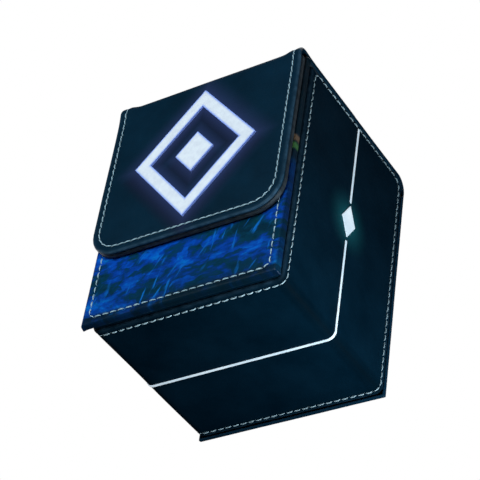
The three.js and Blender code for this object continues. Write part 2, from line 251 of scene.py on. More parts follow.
def rolled_edge(depth, front_round, margin):
    """Rings (inset, height) of a sheet whose edge is turned over a board, from its inner face to its
    outer face. margin is how far the turned edge, pared thin, reaches over the board's back."""
    back_round = min(BACK_ROUND, 0.3 * depth)
    turned = [(LEATHER, -LEATHER - 0.35), (LEATHER, PARED - depth), (margin, PARED - depth), (margin, -depth)]
    side = [(0.0, -0.5 * (depth - back_round + front_round))]
    return turned + back_arc(back_round, depth, 3) + side + front_arc(front_round, 6)


def back_arc(radius, depth, steps):
    """Rings round a sheet's back edge, outward."""
    return [(radius * (1 - math.sin(a)), -depth + radius * (1 - math.cos(a))) for a in quarter(steps)]


def front_arc(radius, steps):
    """Rings round a sheet's front edge, inward."""
    return [(radius * (1 - math.cos(a)), -radius * (1 - math.sin(a))) for a in quarter(steps)]


def middle_insets(start, seam, end):
    """Insets of the flat rings: close together as far as the seam, then wider and wider."""
    insets = []
    inset, step = start, FINE_INSET
    while inset + step < end:
        inset += step
        insets.append(inset)
        if inset > seam + 2 * SEAM_WIDTH:
            step = min(COARSE_INSET, step * 1.35)
    return insets


def spaced(line, step):
    """Points along a flat line, at equal distances of about a step."""
    line = np.array(line, float)
    legs = np.linalg.norm(np.diff(line, axis=0), axis=1)
    keep = np.concatenate(([True], legs > 1e-9))
    line = line[keep]
    at = np.concatenate(([0.0], np.cumsum(np.linalg.norm(np.diff(line, axis=0), axis=1))))
    count = max(2, int(round(at[-1] / step)))
    places = np.linspace(0, at[-1], count + 1)
    return np.stack([np.interp(places, at, line[:, i]) for i in (0, 1)], axis=1)


def seam_relief(flat, seams, pitch):
    """How far the leather is drawn in near its seams: a valley under the thread, and a dimple at each
    hole."""
    relief = np.zeros(len(flat))
    for line in seams:
        run = spaced(line, 0.5 * SEAM_WIDTH)
        holes = spaced(line, pitch)
        for points, amount, width in ((run, SEAM_VALLEY, SEAM_WIDTH), (holes, HOLE_DIMPLE, HOLE_WIDTH)):
            nearest = np.full(len(flat), 1e9)
            for part in np.array_split(points, max(1, len(points) // 60)):
                gaps = ((flat[:, None, :] - part[None, :, :]) ** 2).sum(2)
                nearest = np.minimum(nearest, gaps.min(1))
            relief -= amount * np.exp(-nearest / width ** 2)
    return relief


def slack(flat, amount):
    """The small waves of leather that is glued down by hand."""
    x, y = flat[:, 0], flat[:, 1]
    waves = np.sin(x / 7.3 + 1.7 * np.sin(y / 11.0)) + np.sin(y / 6.1 + 1.3 * np.sin(x / 13.0) + 2.0)
    return amount * 0.5 * waves


def ring_points(sheet, rings, corners, rows, counts, wear_and_highlight_at):
    """The flat place, the height, and the wear and painted highlight of every point, ring by ring. Past
    margin_end the turned edge is as narrow as the leather is thick."""
    flat, heights, wear_and_highlight = [], [], []
    for inset, height in rings:
        half = sheet.half_width - inset
        ring = u_line(half, half, inset, [max(c - inset, 0.0) for c in corners], rows, counts)
        flat += ring
        heights += [height] * len(ring)
        wear_and_highlight += [wear_and_highlight_at(inset, height)] * len(ring)
    flat, heights = np.array(flat, float), np.array(heights, float)
    narrow = sheet.half_width - LEATHER - 0.05
    past = (heights < -LEATHER) & (flat[:, 1] > sheet.margin_end) & (np.abs(flat[:, 0]) < narrow)
    flat[past, 0] = np.sign(flat[past, 0]) * narrow
    return flat, heights, wear_and_highlight


def lifted_grid(bm, sheet, count, flat, folded, heights, wear_and_highlight):
    """Lifts the points of all the rings off their flat places, and joins each ring to the next. A point
    keeps its flat place, and its wear and painted highlight, for the material."""
    flat_layer = bm.verts.layers.float_vector.new("flat")
    wear_and_highlight_layer = bm.verts.layers.float.new("wear_and_highlight")
    points = []
    for place, bent, height, worn_and_highlit in zip(flat, folded, heights, wear_and_highlight):
        vertex = bm.verts.new(sheet.lift(*bent, height))
        vertex[flat_layer] = sheet.print_place(*place)
        vertex[wear_and_highlight_layer] = worn_and_highlit
        points.append(vertex)
    size = len(points) // count
    grid = [points[i * size:(i + 1) * size] for i in range(count)]
    bridge(bm, grid)
    return grid


def bridge(bm, loops, closed=False):
    """Quads between each loop of points and the next. A closed loop's last point joins its first."""
    for near, far in zip(loops, loops[1:]):
        count = len(near)
        for i in range(count if closed else count - 1):
            n = (i + 1) % count
            bm.faces.new((near[i], near[n], far[n], far[i]))


def sheet_mesh(name, sheet, corners, seams, seam_inset, pitch=PITCH, waves=0.05, corner_folds=0.0,
               half_sheet=False):
    """Builds a sheet as one leather shell: the inner face, the turned edge and the outer face.
    Its far end is cut square, or left open where it is one half of a sheet with all its edges turned."""
    half, length = sheet.half_width, sheet.route.length
    last, reach = half - 1.0, half + 1.0
    rows = list(np.linspace(length, reach, int((length - reach) / STEP) + 2))
    counts = (int(reach / STEP), 8, int(2 * half / STEP))
    edge = rolled_edge(sheet.depth, sheet.edge_round, sheet.margin)
    inner = [(i, -LEATHER) for i in reversed(middle_insets(LEATHER + 0.4, 0.0, last))]
    outer = [(i, 0.0) for i in middle_insets(sheet.edge_round, seam_inset, last)]
    rings = [(last, -LEATHER)] + inner + edge + outer + [(last, 0.0)]

    # partly wear, partly painted highlight: strongest on the rolled outer edge, fading inward
    def worn_and_highlit_edge(inset, height):
        return math.exp(-(inset / sheet.edge_round) ** 2) if height > -0.6 * sheet.depth else 0.0

    flat, heights, wear_and_highlight = ring_points(sheet, rings, corners, rows, counts, worn_and_highlit_edge)
    outside = (heights > -LEATHER + 0.01).astype(float)
    steady = 1.0 if half_sheet else np.clip((length - flat[:, 1]) / 12.0, 0, 1)
    lifted = heights + outside * (seam_relief(flat, seams, pitch) + slack(flat, waves) * steady)
    folded = flat + corner_pleats(flat, heights, half, corner_folds)

    bm = bmesh.new()
    grid = lifted_grid(bm, sheet, len(rings), flat, folded, lifted, wear_and_highlight)
    side = len(rows) + counts[0] - 1
    close_middle(bm, grid[0], side, True)
    close_middle(bm, grid[-1], side, False)
    if not half_sheet:
        close_mouth(bm, grid)
    return closed_mesh(name, bm, WELD)


def close_middle(bm, ring, side, flip):
    """Fills a sheet's face inside its last ring: quads from side to side, then one face at the free end."""
    size = len(ring)
    faces = [(ring[i], ring[i + 1], ring[size - 2 - i], ring[size - 1 - i]) for i in range(side - 1)]
    faces.append(ring[side - 1:size - side + 1])
    for face in faces:
        bm.faces.new(face[::-1] if flip else face)


def close_mouth(bm, grid):
    """The square cut at a sheet's far end, with sharp edges so that the faces beside it shade flat."""
    face = bm.faces.new([ring[0] for ring in grid] + [ring[-1] for ring in reversed(grid)])
    for edge in face.edges:
        edge.smooth = False


def corner_pleats(flat, heights, half, amount):
    """Where the turned edge is folded at a sharp corner, the pleat stands out, more so towards the back."""
    corner = np.stack([np.sign(flat[:, 0]) * half, np.zeros(len(flat))], axis=1)
    away = np.linalg.norm(flat - corner, axis=1)
    turned = np.clip(-heights / 3.0, 0, 1)
    push = amount * turned * np.exp(-(away / 0.9) ** 2)
    outward = np.stack([np.sign(flat[:, 0]), -np.ones(len(flat))], axis=1) / math.sqrt(2)
    return push[:, None] * outward


def finish_mesh(name, bm, smooth_faces=True):
    mesh = bpy.data.meshes.new(name)
    bm.to_mesh(mesh)
    bm.free()
    for polygon in mesh.polygons:
        polygon.use_smooth = smooth_faces
    piece = bpy.data.objects.new(name, mesh)
    bpy.context.scene.collection.objects.link(piece)
    return piece


def closed_mesh(name, bm, weld=0.0):
    """Makes points nearer than the weld distance one, and turns every face outward."""
    if weld:
        bmesh.ops.remove_doubles(bm, verts=bm.verts, dist=weld)
    bmesh.ops.recalc_face_normals(bm, faces=bm.faces)
    return finish_mesh(name, bm)


def joined(name, pieces):
    """One mesh from two halves that meet edge to edge."""
    bm = bmesh.new()
    for piece in pieces:
        bm.from_mesh(piece.data)
        bpy.data.objects.remove(piece)
    return closed_mesh(name, bm, HALVES_WELD)


# ---- thread ----

def stitch(bm, layer, start, end, normal, turn, tight):
    """One stitch: a bowed length of two-ply thread whose ends go down into the leather."""
    along = end - start
    side = normal.cross(along).normalized()
    sides, rings = 8, 9
    loops = []
    for i in range(rings):
        t = i / (rings - 1)
        bow = math.sin(math.pi * t) ** 0.4 if 0 < t < 1 else 0.0
        height = -STITCH_SINK + (STITCH_SINK + STITCH_RISE) * bow
        centre = start + along * t + normal * (height * MM)
        radius = THREAD_RADIUS * MM * (0.45 + 0.55 * bow) * tight
        loop = []
        for k in range(sides):
            angle = 2 * math.pi * k / sides
            ply = 1 + PLY_RIPPLE * math.cos(2 * angle - 7.0 * t + turn)
            offset = (math.cos(angle) * side + math.sin(angle) * normal) * (radius * ply)
            vertex = bm.verts.new(centre + offset)
            vertex[layer] = Vector((t * along.length, angle * radius, 0))
            loop.append(vertex)
        loops.append(loop)
    bridge(bm, loops, closed=True)
    bm.faces.new(loops[0][::-1])
    bm.faces.new(loops[-1])


def seam_mesh(name, runs, pitch=PITCH, gap=STITCH_GAP, slant=0.0):
    """A seam: one stitch for each pitch of each run. A run is (sheet, line in flat places)."""
    bm = bmesh.new()
    layer = bm.verts.layers.float_vector.new("flat")
    count = 0
    for sheet, line in runs:
        holes = spaced(line, pitch)
        for a, b in zip(holes, holes[1:]):
            step = b - a
            length = np.linalg.norm(step)
            unit = step / length
            lean = np.array((-unit[1], unit[0])) * slant
            a, b = a + unit * gap / 2 - lean, b - unit * gap / 2 + lean
            middle = (a + b) / 2
            start, end = sheet.lift(*a), sheet.lift(*b)
            normal = (sheet.lift(*middle, 1.0) - sheet.lift(*middle)).normalized()
            jitter = math.sin(count * 12.9898)
            stitch(bm, layer, start, end, normal, 2.0 * jitter, 1 + 0.05 * jitter)
            count += 1
    return closed_mesh(name, bm)


# ---- the sheets ----

def lid_rim(depth, bend_start, bend_end, bend_share):
    """Share of a rim of that depth along a cover: whole below the bend, bend_share in it, and as deep as
    the lid above it."""
    on_lid = (lid_high.z - lid_low.z - LEATHER) / (depth - LEATHER)

    def share(along):
        below = 1 - smooth(along, bend_start - 2, bend_start)
        above = on_lid * smooth(along, bend_end + 1.5, bend_end + 3)
        return max(bend_share, below + above)
    return share


def front_cover_sheet():
    """The flap's face, the front fold and the front half of the lid's top."""
    flap_height = flap_high.z - flap_low.z
    fold = 0.5 * math.pi * FOLD_RADIUS
    lid_run = -(flap_low.y + FOLD_RADIUS)
    legs = [(flap_height, 0), (fold, -FOLD_RADIUS), (lid_run, 0)]
    route = Route((flap_low.y, flap_low.z), 0.5 * math.pi, legs, 1)
    sheet = Sheet(route, flap_high.x, flap_high.y - flap_low.y)
    sheet.widening = lambda s: (lid_high.x - flap_high.x) * smooth(s, flap_height, flap_height + fold)
    sheet.rim = lid_rim(sheet.depth, flap_height, flap_height + fold, FOLD_RIM)

    def bunched(across, along):
        """The turned edges make the fold stand out at its ends."""
        at_fold = math.exp(-((along - flap_height - 0.5 * fold) / 6.0) ** 2)
        return FOLD_BUNCH * at_fold * smooth(abs(across), flap_high.x - 9, flap_high.x - 4)

    sheet.swell = bunched
    return sheet


def back_cover_sheet():
    """The back panel's face, the spine and the back half of the lid's top."""
    panel = spine_low.z
    spine = 0.5 * math.pi * SPINE_RADIUS
    lid_run = back_high.y - SPINE_RADIUS
    legs = [(panel, 0), (spine, SPINE_RADIUS), (lid_run, 0)]
    route = Route((back_high.y, 0.0), 0.5 * math.pi, legs, -1)
    sheet = Sheet(route, back_high.x, back_high.y - back_low.y)
    sheet.margin = BACK_MARGIN
    sheet.margin_end = panel - 2
    sheet.widening = lambda s: (lid_high.x - back_high.x) * smooth(s, panel, panel + spine)
    sheet.rim = lid_rim(sheet.depth, panel, panel + spine, SPINE_RIM)
    return sheet


def front_panel_sheet(upper):
    """The lower or the upper half of the printed panel, measured from its outer end to the middle."""
    height = front_high.z - front_low.z
    start, heading, outward = front_low.z, 0.5 * math.pi, 1
    if upper:
        start, heading, outward = front_high.z, -0.5 * math.pi, -1
    route = Route((front_low.y, start), heading, [(0.5 * height, 0)], outward)
    sheet = Sheet(route, front_high.x, front_high.y - front_low.y)
    sheet.turned_over = height if upper else 0.0
    return sheet


def wrap_sheet(mirror):
    """Half of the body's wrap: down a side and along the bottom as far as the middle."""
    wall = wrap_high.z - wrap_low.z - WRAP_FOLD_RADIUS
    turn = 0.5 * math.pi * WRAP_FOLD_RADIUS
    floor = wrap_high.x - WRAP_FOLD_RADIUS
    legs = [(wall, 0), (turn, -WRAP_FOLD_RADIUS), (floor, 0)]
    route = Route((wrap_high.x, wrap_high.z), -0.5 * math.pi, legs, 1)
    half = (wrap_high.y - wrap_low.y) / 2
    middle = (wrap_high.y + wrap_low.y) / 2
    sheet = Sheet(route, half, WALL_DEPTH, swept="y", middle=middle, mirror=mirror)
    sheet.turned_over = 2 * route.length if mirror < 0 else 0.0
    return sheet


def seam_line(sheet, left, right, low, corners):
    """A seam's U in flat places, from its insets and its corner radii."""
    length = sheet.route.length
    rows = list(np.linspace(length, low + max(corners) + 1.0, 200))
    return u_line(sheet.half_width - left, sheet.half_width - right, low, corners, rows, (4, 16, 60))


def cover_seam(sheet, inset, corner):
    """The cover's seam, whose inset changes a little as it goes over the fold onto the lid."""
    line = seam_line(sheet, inset, inset, inset, (corner, corner))
    drift = inset - LID_SEAM_INSET
    top = sheet.route.length
    start = 0.6 * top
    return [(x + math.copysign(drift * smooth(s, start, 0.75 * top), x), s) for x, s in line]


# ---- leather pieces ----

def front_cover():
    """One skin over the flap and the front of the lid, which bends at the front fold."""
    sheet = front_cover_sheet()
    seam = cover_seam(sheet, FLAP_SEAM_INSET, FLAP_CORNER - FLAP_SEAM_INSET)
    skin = sheet_mesh("front_cover_skin", sheet, (FLAP_CORNER,) * 2, [seam], FLAP_SEAM_INSET, COVER_PITCH)
    thread = seam_mesh("front_cover_stitching", [(sheet, seam)], COVER_PITCH, gap=0.0, slant=STITCH_LEAN)
    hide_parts("flap_skin", "fold_hinge")
    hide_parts("flap_stitching")
    for piece, slot, make in ((skin, "leatherette", flap_leather), (thread, "thread", thread_material)):
        piece.data.materials.append(make())
        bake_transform(piece)


def back_cover():
    """One skin over the back, the spine and the rear of the lid, which bends at the spine."""
    sheet = back_cover_sheet()
    seam = cover_seam(sheet, BACK_SEAM_INSET, 1.0)
    skin = sheet_mesh("back_cover_skin", sheet, (SHARP_CORNER,) * 2, [seam], BACK_SEAM_INSET, COVER_PITCH)
    thread = seam_mesh("back_cover_stitching", [(sheet, seam)], COVER_PITCH)
    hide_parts("back_panel_skin", "spine_hinge", "lid_skin")
    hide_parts("back_panel_stitching", "lid_stitching_left", "lid_stitching_right")
    for piece, slot, make in ((skin, "leatherette", cover_leather), (thread, "thread", thread_material)):
        piece.data.materials.append(make())
        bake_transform(piece)


def front_panel():
    """The printed panel, turned over its board all round, with a seam down its sides and along its foot."""
    halves, runs = [], []
    for name, upper in (("print_lower", False), ("print_upper", True)):
        sheet = front_panel_sheet(upper)
        seams = [seam_line(sheet, FRONT_SEAM_INSET, FRONT_SEAM_INSET, FRONT_SEAM_FOOT, (1.0, 1.0))]
        if upper:
            half, length = sheet.half_width - FRONT_SEAM_INSET, sheet.route.length
            seams = [[(side * half, 1.0), (side * half, length)] for side in (-1, 1)]
        halves.append(sheet_mesh(name, sheet, (SHARP_CORNER,) * 2, seams, FRONT_SEAM_INSET,
                                 corner_folds=0.7, half_sheet=True))
        runs += [(sheet, line) for line in seams]
    skin = joined("printed_front_skin", halves)
    skin.data.materials.append(print_material())
    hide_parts("front_panel_skin")
    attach(skin, "box")
    thread = seam_mesh("front_stitching", runs)
    thread.data.materials.append(thread_material())
    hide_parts("front_panel_stitching")
    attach(thread, "box")


def body_wrap():
    """The wrap round the left side, the bottom and the right side, with its seam all the way round."""
    halves, runs = [], []
    for name, mirror in (("wrap_right", 1.0), ("wrap_left", -1.0)):
        sheet = wrap_sheet(mirror)
        seam = seam_line(sheet, WRAP_SEAM_FRONT, WRAP_SEAM_BACK, WRAP_SEAM_TOP, (1.0, 4.0))
        halves.append(sheet_mesh(name, sheet, (SHARP_CORNER, 6.0), [seam], WRAP_SEAM_FRONT,
                                 waves=0.08, half_sheet=True))
        runs.append((sheet, seam))
    skin = joined("body_wrap_skin", halves)
    skin.data.materials.append(wrap_leather())
    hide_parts("body_wrap")
    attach(skin, "box")
    thread = seam_mesh("body_wrap_stitching", runs)
    thread.data.materials.append(wrap_thread_material())
    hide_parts("body_stitching")
    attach(thread, "box")


# ---- linings and welt ----

def soft_block(bm, low, high):
    """Adds a lining block with rounded edges. A finished block's points and edges are tagged, and only
    what isn't tagged is divided and made slightly uneven."""
    size, centre = high - low, (low + high) / 2
    corners = bmesh.ops.create_cube(bm, size=1.0)["verts"]
    for vertex in corners:
        vertex.co = Vector([low[i] + (vertex.co[i] + 0.5) * size[i] for i in range(3)])
    edges = [edge for edge in bm.edges if not edge.tag]
    bmesh.ops.bevel(bm, geom=edges, offset=LINING_ROUND, segments=3, affect="EDGES", profile=0.5)
    longest = max(size)
    inside = [e for e in bm.edges if not e.tag and e.calc_length() > 0.25 * longest]
    bmesh.ops.subdivide_edges(bm, edges=inside, cuts=int(longest / LINING_SPACING), use_grid_fill=True)
    thin = min(range(3), key=lambda i: size[i])
    for vertex in bm.verts:
        if vertex.tag:
            continue
        a, b = [vertex.co[i] for i in range(3) if i != thin]
        wave = 0.5 * (math.sin(a / 5.0 + 1.4 * math.sin(b / 9.0)) + math.sin(b / 4.3 + a / 17.0))
        toward = 1 if vertex.co[thin] < centre[thin] else -1
        vertex.co[thin] += toward * LINING_SLACK * (1 + wave)
    for element in (*bm.verts, *bm.edges):
        element.tag = True


def lining_piece(name, node, body, blocks):
    """A microfibre lining made of padded blocks, which stands for a CAD node."""
    bm = bmesh.new()
    for low, high in blocks:
        soft_block(bm, low, high)
    bmesh.ops.scale(bm, vec=(MM, MM, MM), verts=bm.verts)
    piece = finish_mesh(name, bm)
    piece.data.materials.append(microfibre_material())
    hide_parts(node)
    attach(piece, body)


def linings():
    for side in ("left", "right", "bottom", "front"):
        lining_piece(f"well_{side}_lining", f"{side}_lining", "box", [box_mm(f"{side}_lining")])
    lining_piece("lid_underside_lining", "lid_lining", "lid", [box_mm("lid_lining")])
    low, high = box_mm("back_lining")
    wall = (low, Vector((high.x, low.y + LINING, high.z)))
    over_the_board = (Vector((low.x, low.y + LINING, high.z - LINING)), high)
    lining_piece("well_back_lining", "back_lining", "box", [wall, over_the_board])


def flap_lining():
    """The flap's second layer: a thin lined panel that follows the flap's rounded outline."""
    low, high = box_mm("flap_lining")
    route = Route((low.y, low.z), 0.5 * math.pi, [(high.z - low.z, 0)], 1)
    sheet = Sheet(route, high.x, high.y - low.y)
    corner = FLAP_CORNER - (flap_high.x - high.x)
    piece = layered_panel("flap_back_lining", sheet, corner)
    piece.data.materials.append(lining_leather())
    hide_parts("flap_lining")
    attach(piece, "flap")


def layered_panel(name, sheet, corner):
    """A thin padded panel with both long edges rounded, closed all round."""
    half, length, depth = sheet.half_width, sheet.route.length, sheet.depth
    rows = list(np.linspace(length, half + 1, int((length - half) / STEP)))
    counts = (int(half / STEP), 10, int(2 * half / STEP))
    round_off = 0.3 * depth
    insets = (half - 1.0, 24.0, 14.0, 8.0, 4.0, 2.0, 1.0)
    rings = [(inset, -depth) for inset in insets] + back_arc(round_off, depth, 3)
    rings += front_arc(round_off, 3) + [(inset, 0.0) for inset in reversed(insets)]

    # partly wear, partly painted highlight on the panel's rounded rim
    def worn_and_highlit_edge(inset, _):
        return 1.0 if inset < 0.5 * round_off else 0.0

    flat, heights, wear_and_highlight = ring_points(sheet, rings, (corner, corner), rows, counts, worn_and_highlit_edge)
    bm = bmesh.new()
    grid = lifted_grid(bm, sheet, len(rings), flat, flat, heights, wear_and_highlight)
    bm.faces.new(grid[0][::-1])
    bm.faces.new(grid[-1])
    close_mouth(bm, grid)
    return closed_mesh(name, bm, WELD)


def welt_section(depth):
    """The binding's rounded section, as places across the groove and along its depth."""
    section = []
    for i in range(16):
        x, y = math.cos(2 * math.pi * i / 16), math.sin(2 * math.pi * i / 16)
        across = 0.5 * WELT * math.copysign(abs(x) ** 0.6, x)
        section.append((across, 0.5 * depth * math.copysign(abs(y) ** 0.4, y)))
    return section


def front_welt():
    """The leather binding in the groove behind the front panel: a rounded strip round the wall's board."""
    low, high = box_mm("front_welt")
    half, middle = high.x, (low + high) / 2
    lower = u_line(half, half, low.z, (WELT_CORNER, WELT_CORNER), [middle.z, low.z + 3], (6, 8, 40))
    upper = [(-x, low.z + high.z - z) for x, z in lower[1:]]
    line = spaced(lower + upper, 1.0)[:-1]
    section = welt_section(high.y - low.y)
    bm = bmesh.new()
    layer = bm.verts.layers.float_vector.new("flat")
    loops = []
    for i, place in enumerate(line):
        step = line[(i + 1) % len(line)] - line[i - 1]
        inward = np.array((-step[1], step[0])) / np.linalg.norm(step)
        loop = []
        for across, deep in section:
            x, z = place + inward * (across + 0.5 * WELT)
            vertex = bm.verts.new(Vector((x, middle.y + deep, z)) * MM)
            vertex[layer] = Vector((i, deep + across, 0)) * MM
            loop.append(vertex)
        loops.append(loop)
    bridge(bm, loops + loops[:1], closed=True)
    piece = closed_mesh("front_welt_binding", bm)
    piece.data.materials.append(wrap_leather())
    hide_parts("front_welt")
    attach(piece, "box")


# ---- materials ----

class Nodes:
    """A material's node tree, with short calls for what repeats."""

    def __init__(self, name):
        self.material = bpy.data.materials.new(name)
        self.material.use_nodes = True
        self.tree = self.material.node_tree
        self.shader = self.tree.nodes["Principled BSDF"]

    def add(self, kind, inputs=None, **settings):
        """A node with its settings, and with its inputs linked or set."""
        node = self.tree.nodes.new(kind)
        for key, value in settings.items():
            setattr(node, key, value)
        for key, value in (inputs or {}).items():
            self.put(node.inputs[key], value)
        return node

    def put(self, socket, value):
        """Links an input to another node's output, or sets it to a number, a colour or a vector."""
        if isinstance(value, bpy.types.NodeSocket):
            self.tree.links.new(value, socket)
        elif socket.type == "RGBA":
            socket.default_value = (*value, 1)
        else:
            socket.default_value = value

    def into(self, socket, value):
        self.put(self.shader.inputs[socket], value)

    def flat(self):
        """Places on a sheet laid out flat, which stay with the leather when it bends."""
        return self.add("ShaderNodeAttribute", attribute_name="flat").outputs["Vector"]

    def solid(self):
        """Places in the object's own space, in metres."""
        return self.add("ShaderNodeTexCoord").outputs["Object"]

    def parts(self, vector):
        """A vector's X and Y (across and along, on a flat sheet) and its Z."""
        node = self.add("ShaderNodeSeparateXYZ", {0: vector})
        return node.outputs["X"], node.outputs["Y"], node.outputs["Z"]

    def scaled(self, vector, scale, turn=0.0):
        """The vector turned and then scaled, so that the streaks of a texture lean by that turn."""
        inputs = {"Scale": [1 / s for s in scale], "Rotation": (0, 0, turn), "Vector": vector}
        return self.add("ShaderNodeMapping", inputs, vector_type="TEXTURE").outputs["Vector"]

    def moved(self, vector, shift):
        """The vector with another one, or a fixed step, added to it."""
        return self.add("ShaderNodeVectorMath", {0: vector, 1: shift}, operation="ADD").outputs[0]

    def noise(self, vector, scale, detail=2.0, roughness=0.5, distortion=0.0, output="Fac"):
        inputs = {"Vector": vector, "Scale": scale, "Detail": detail, "Roughness": roughness,
                  "Distortion": distortion}
        return self.add("ShaderNodeTexNoise", inputs).outputs[output]

    def cells(self, vector, scale):
        """Distance from the middle of a pebble, with soft borders between pebbles."""
        inputs = {"Vector": vector, "Scale": scale, "Smoothness": 0.6}
        return self.add("ShaderNodeTexVoronoi", inputs, feature="SMOOTH_F1").outputs["Distance"]

    def dabs(self, vector, scale):
        """A random value, 0 to 1, for each cell of a cracked-mud pattern."""
        node = self.add("ShaderNodeTexVoronoi", {"Vector": vector, "Scale": scale})
        return self.parts(node.outputs["Color"])[0]

    def ramp(self, value, stops):
        node = self.add("ShaderNodeValToRGB", {"Fac": value})
        ends = node.color_ramp.elements
        while len(ends) < len(stops):
            ends.new(0.5)
        for element, (place, color) in zip(ends, stops):
            element.position = place
            element.color = (*color, 1)
        return node.outputs["Color"]

    def spread(self, value, low, high, to_low, to_high):
        """Stretches low to high onto to_low to to_high, and holds what lies past them."""
        inputs = {"Value": value, "From Min": low, "From Max": high, "To Min": to_low, "To Max": to_high}
        return self.add("ShaderNodeMapRange", inputs).outputs["Result"]

    def maths(self, operation, a, b=0.0):
        return self.add("ShaderNodeMath", {0: a, 1: b}, operation=operation).outputs["Value"]

    def times(self, a, b):
        return self.maths("MULTIPLY", a, b)

    def plus(self, a, b):
        return self.maths("ADD", a, b)

    def minus(self, a, b):
        return self.maths("SUBTRACT", a, b)

    def size(self, a):
        """The value without its sign."""
        return self.maths("ABSOLUTE", a)

    def gap(self, a, b):
        """How far apart two values are."""
        return self.size(self.minus(a, b))

    def mix(self, factor, a, b):
        return self.add("ShaderNodeMix", {0: factor, 6: a, 7: b}, data_type="RGBA").outputs[2]

    def bump(self, height, distance, strength=1.0):
        inputs = {"Height": height, "Distance": distance, "Strength": strength}
        self.into("Normal", self.add("ShaderNodeBump", inputs).outputs["Normal"])

    def rough(self, pattern, low, high):
        """Roughness from low to high, as a noise pattern gives it."""
        self.into("Roughness", self.spread(pattern, 0.3, 0.7, low, high))


def srgb(red, green, blue):
    """A screen colour, 0 to 255, as scene-linear numbers."""
    def linear(value):
        value /= 255
        return value / 12.92 if value <= 0.04045 else ((value + 0.055) / 1.055) ** 2.4
    return tuple(linear(v) for v in (red, green, blue))


made = {}


def once(maker):
    """Keeps a material the first time it is made, so that pieces share it."""
    def wrapper():
        if maker.__name__ not in made:
            made[maker.__name__] = maker().material
        return made[maker.__name__]
    return wrapper


def leather(name, dark, light, worn_and_highlit, gloss=0.12):
    """Fine-grained faux leather: pebbles, pores, cloudy colour and a lighter edge, partly wear and partly
    painted highlight. Returns its nodes and its colour."""
    n = Nodes(name)
    at = n.flat()
    pebbles = n.cells(at, GRAIN)
    pores = n.noise(at, 5200, 3)
    clouds = n.noise(at, 45, 4, 0.6)
    color = n.ramp(clouds, [(0.3, dark), (0.7, light)])
    # a lighter colour painted along the rolled edges: partly wear, partly painted highlight
    wear_and_highlight = n.add("ShaderNodeAttribute", attribute_name="wear_and_highlight").outputs["Fac"]
    rubbed_and_highlit = n.times(wear_and_highlight, n.spread(n.noise(at, 300, 3), 0.35, 0.65, 0.3, 0.9))
    color = n.mix(rubbed_and_highlit, color, worn_and_highlit)
    n.into("Base Color", color)
    n.rough(n.noise(at, 700, 3), 0.56 - gloss, 0.68 - gloss)
    n.into("Specular IOR Level", gloss)
    n.bump(n.plus(pebbles, n.times(pores, 0.35)), 0.0001, 0.4)
    return n, color


@once
def cover_leather():
    return leather("cover_leather", srgb(0, 26, 42), srgb(4, 36, 55), srgb(52, 76, 96))[0]


@once
def flap_leather():
    """Leather with the emblem's soft violet-blue glow round it, and its shadow below and to the left."""
    n, color = leather("flap_leather", srgb(0, 27, 43), srgb(4, 38, 57), srgb(52, 76, 96))
    across, along, _ = n.parts(n.flat())
    up = n.minus(along, (emblem_centre() - flap_low.z) * MM)
    glow = n.spread(emblem_distance(n, across, up), 0.0, 9.0, 1.0, 0.0)
    glow = n.maths("POWER", glow, 1.7)
    shaded = emblem_distance(n, n.plus(across, 0.0012), n.plus(up, 0.0045))
    shadow = n.spread(shaded, 0.0, 4.5, 0.8, 0.0)
    color = n.mix(shadow, color, srgb(2, 8, 16))
    n.into("Base Color", n.mix(n.times(glow, 0.75), color, srgb(52, 58, 98)))
    return n


def emblem_centre():
    low, high = box_mm("emblem_frame")
    return (low.z + high.z) / 2


def emblem_distance(n, across, up):
    """Millimetres from the outline of the emblem's frame or centre, below 0 inside them. The places
    across and up from the emblem's middle are in metres."""
    across = n.size(across)
    up = n.size(up)
    nearest = None
    for node, stroke in (("emblem_frame", EMBLEM_STROKE), ("emblem_centre", 0.0)):
        low, high = box_mm(node)
        half_width, half_height = high.x, (high.z - low.z) / 2
        reach = half_width * half_height / math.hypot(half_width, half_height)
        share = n.plus(n.times(across, 1 / (half_width * MM)), n.times(up, 1 / (half_height * MM)))
        outside = n.times(n.minus(share, 1.0), reach)
        if stroke:
            from_middle = n.size(n.plus(outside, stroke / 2))
            outside = n.minus(from_middle, stroke / 2)
        nearest = n.maths("MINIMUM", nearest, outside) if nearest else outside
    return nearest


@once
def wrap_leather():
    """Leather with a painted faint teal glow round the badge on each side, and painted shade along the two
    folds.
    """
    n, color = leather("wrap_leather", srgb(0, 20, 33), srgb(5, 30, 45), srgb(42, 64, 82), gloss=0.02)
    low, high = box_mm("right_badge")
    across, along, _ = n.parts(n.flat())
    badge = wrap_high.z - (low.z + high.z) / 2
    middle = wrap_sheet(1.0).route.length
    from_middle = n.gap(along, middle * MM)
    down = n.minus(from_middle, (middle - badge) * MM)
    square = n.plus(n.times(across, across), n.times(down, down))
    near = n.spread(n.maths("SQRT", square), 0.002, 0.016, 1.0, 0.0)
    halo = n.times(near, near)
    # painted shade: darker along the bottom folds
    fold = middle - wrap_high.x + WRAP_FOLD_RADIUS - 0.25 * math.pi * WRAP_FOLD_RADIUS
    off_fold = n.gap(from_middle, (middle - fold) * MM)
    color = n.mix(n.spread(off_fold, 0.0003, 0.004, 0.7, 0), color, srgb(0, 8, 15))
    n.into("Base Color", n.mix(halo, color, srgb(26, 88, 96)))
    return n


@once
def lining_leather():
    return leather("flap_lining_leather", srgb(14, 20, 27), srgb(26, 31, 38), srgb(62, 66, 72))[0]


